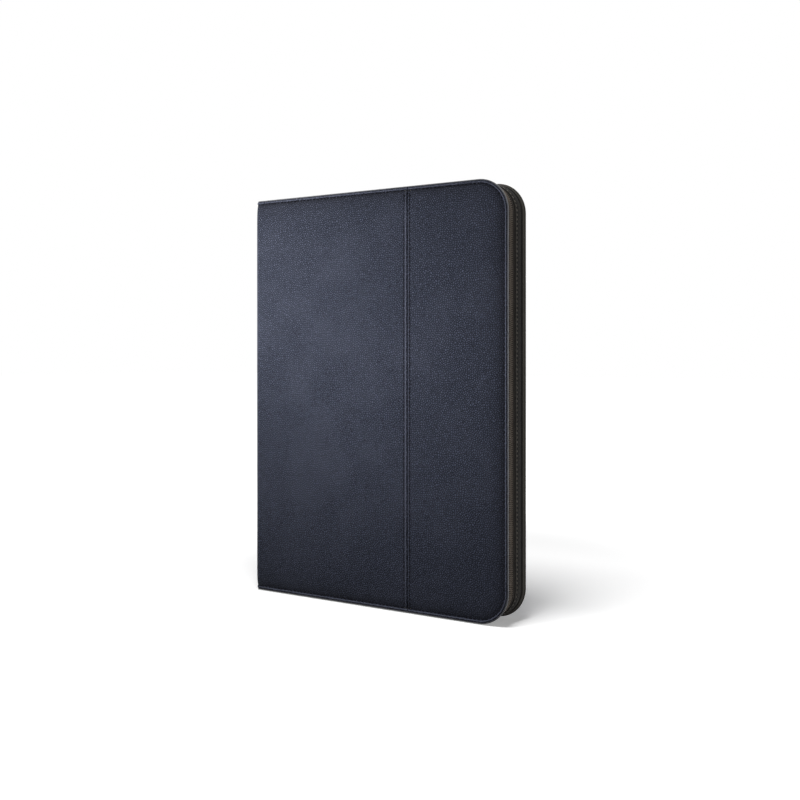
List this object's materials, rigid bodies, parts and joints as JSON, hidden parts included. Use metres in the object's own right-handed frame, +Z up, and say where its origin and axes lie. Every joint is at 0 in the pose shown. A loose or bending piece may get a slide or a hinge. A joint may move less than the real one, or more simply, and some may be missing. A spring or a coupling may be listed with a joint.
{
  "type": "tablet keyboard case",
  "caption": "Zip-round folio case for a tablet, with a cover that folds into a stand, corner straps, a rest ridge and a slim keyboard inside.",
  "frame": {"origin": "on the surface that the closed case stands on, under the middle of its box", "axes": "+Z up along the spine, +X from the spine to the zip, -Y out of the front cover"},
  "size_m": [0.2, 0.025, 0.2754],
  "materials": {
    "leather_navy": "pebbled, satin",
    "leather_black": "pebbled, satin",
    "cover_board": "plain",
    "lining_cloth": "brushed microfibre",
    "zip_tape": "woven",
    "zip_coil": "satin",
    "zip_metal": "satin gunmetal",
    "strap_elastic": "ribbed elastic",
    "rest_rubber": "matt",
    "keyboard_shell": "fine texture",
    "keycap_plastic": "satin",
    "backing_steel": "plain",
    "contact_film": "clear film",
    "dome_silicone": "translucent",
    "circuit_board": "solder mask",
    "battery_foil": "foil",
    "socket_steel": "plated",
    "switch_plastic": "satin",
    "light_pipe": "clear",
    "adhesive_sheet": "tacky film"
  },
  "bodies": {
    "back_half": {"back_skin": "leather_navy", "back_board": "cover_board", "back_lining": "lining_cloth", "back_binding": "leather_black", "gusset": "leather_black", "zip_tape_back": "zip_tape", "zip_teeth_back_top": "zip_coil", "zip_teeth_back": "zip_coil", "zip_stops_back": "zip_metal", "tablet_rest": "rest_rubber", "keyboard_adhesive": "adhesive_sheet", "keyboard_base": "keyboard_shell", "keyboard_frame": "keyboard_shell", "key_plate": "backing_steel", "key_membrane": "contact_film", "dome_sheet": "dome_silicone", "keyboard_pcb": "circuit_board", "keyboard_battery": "battery_foil", "charge_socket": "socket_steel", "status_lights": "light_pipe"},
    "spine": {"spine_skin": "leather_navy", "spine_board": "cover_board", "spine_lining": "lining_cloth", "spine_binding": "leather_navy"},
    "front_inner": {"front_inner_skin": "leather_navy", "front_inner_board": "cover_board", "front_inner_lining": "lining_cloth", "front_inner_binding": "leather_navy", "fold_welt": "leather_navy", "zip_tape_front_inner": "zip_tape", "zip_teeth_front_inner_top": "zip_coil", "zip_teeth_front_inner": "zip_coil", "zip_stops_front": "zip_metal", "strap_spine_top": "strap_elastic", "strap_spine_bottom": "strap_elastic"},
    "front_outer": {"front_outer_skin": "leather_navy", "front_outer_board": "cover_board", "front_outer_lining": "lining_cloth", "front_outer_binding": "leather_navy", "zip_tape_front_outer": "zip_tape", "zip_teeth_front_outer_top": "zip_coil", "zip_teeth_front_outer": "zip_coil", "strap_zip_top": "strap_elastic", "strap_zip_bottom": "strap_elastic"},
    "slider": {"zip_slider": "zip_metal"},
    "pull": {"zip_pull": "zip_metal"},
    "function_keys": {"key_row_function": "keycap_plastic"},
    "number_keys": {"key_row_number": "keycap_plastic"},
    "upper_keys": {"key_row_upper": "keycap_plastic"},
    "home_keys": {"key_row_home": "keycap_plastic"},
    "lower_keys": {"key_row_lower": "keycap_plastic"},
    "bottom_keys": {"key_row_bottom": "keycap_plastic"},
    "space_key": {"space_bar": "keycap_plastic"},
    "switch_knob": {"power_switch": "switch_plastic"}
  },
  "joints": [
    {"name": "spine_fold", "type": "hinge", "parent": "back_half", "child": "spine", "pos_m": [-0.09883, 0.01133, 0.1375], "axis": [0, 0, -1], "range_deg": [0, 90]},
    {"name": "cover_fold", "type": "hinge", "parent": "spine", "child": "front_inner", "pos_m": [-0.09883, -0.01133, 0.1375], "axis": [0, 0, -1], "range_deg": [0, 90]},
    {"name": "stand_fold", "type": "hinge", "parent": "front_inner", "child": "front_outer", "pos_m": [0.027, -0.0125, 0.1375], "axis": [0, 0, -1], "range_deg": [0, 60]},
    {"name": "zip_slide", "type": "slide", "parent": "back_half", "child": "slider", "axis": [1, 0, 0], "range_m": [0, 0.15], "deforming": ["zip_teeth_back_top", "zip_teeth_front_inner_top", "zip_teeth_front_outer_top"]},
    {"name": "pull_swing", "type": "hinge", "parent": "slider", "child": "pull", "pos_m": [-0.0836, -0.005, 0.2746], "axis": [0, -1, 0], "range_deg": [0, 150]},
    {"name": "function_keys_press", "type": "slide", "parent": "back_half", "child": "function_keys", "axis": [0, 1, 0], "range_m": [0, 0.0014], "stiffness_N_per_m": 400},
    {"name": "number_keys_press", "type": "slide", "parent": "back_half", "child": "number_keys", "axis": [0, 1, 0], "range_m": [0, 0.0014], "stiffness_N_per_m": 400},
    {"name": "upper_keys_press", "type": "slide", "parent": "back_half", "child": "upper_keys", "axis": [0, 1, 0], "range_m": [0, 0.0014], "stiffness_N_per_m": 400},
    {"name": "home_keys_press", "type": "slide", "parent": "back_half", "child": "home_keys", "axis": [0, 1, 0], "range_m": [0, 0.0014], "stiffness_N_per_m": 400},
    {"name": "lower_keys_press", "type": "slide", "parent": "back_half", "child": "lower_keys", "axis": [0, 1, 0], "range_m": [0, 0.0014], "stiffness_N_per_m": 400},
    {"name": "bottom_keys_press", "type": "slide", "parent": "back_half", "child": "bottom_keys", "axis": [0, 1, 0], "range_m": [0, 0.0014], "stiffness_N_per_m": 400},
    {"name": "space_key_press", "type": "slide", "parent": "back_half", "child": "space_key", "axis": [0, 1, 0], "range_m": [0, 0.0014], "stiffness_N_per_m": 400},
    {"name": "switch_slide", "type": "slide", "parent": "back_half", "child": "switch_knob", "axis": [0, 0, 1], "range_m": [0, 0.0025]}
  ]
}
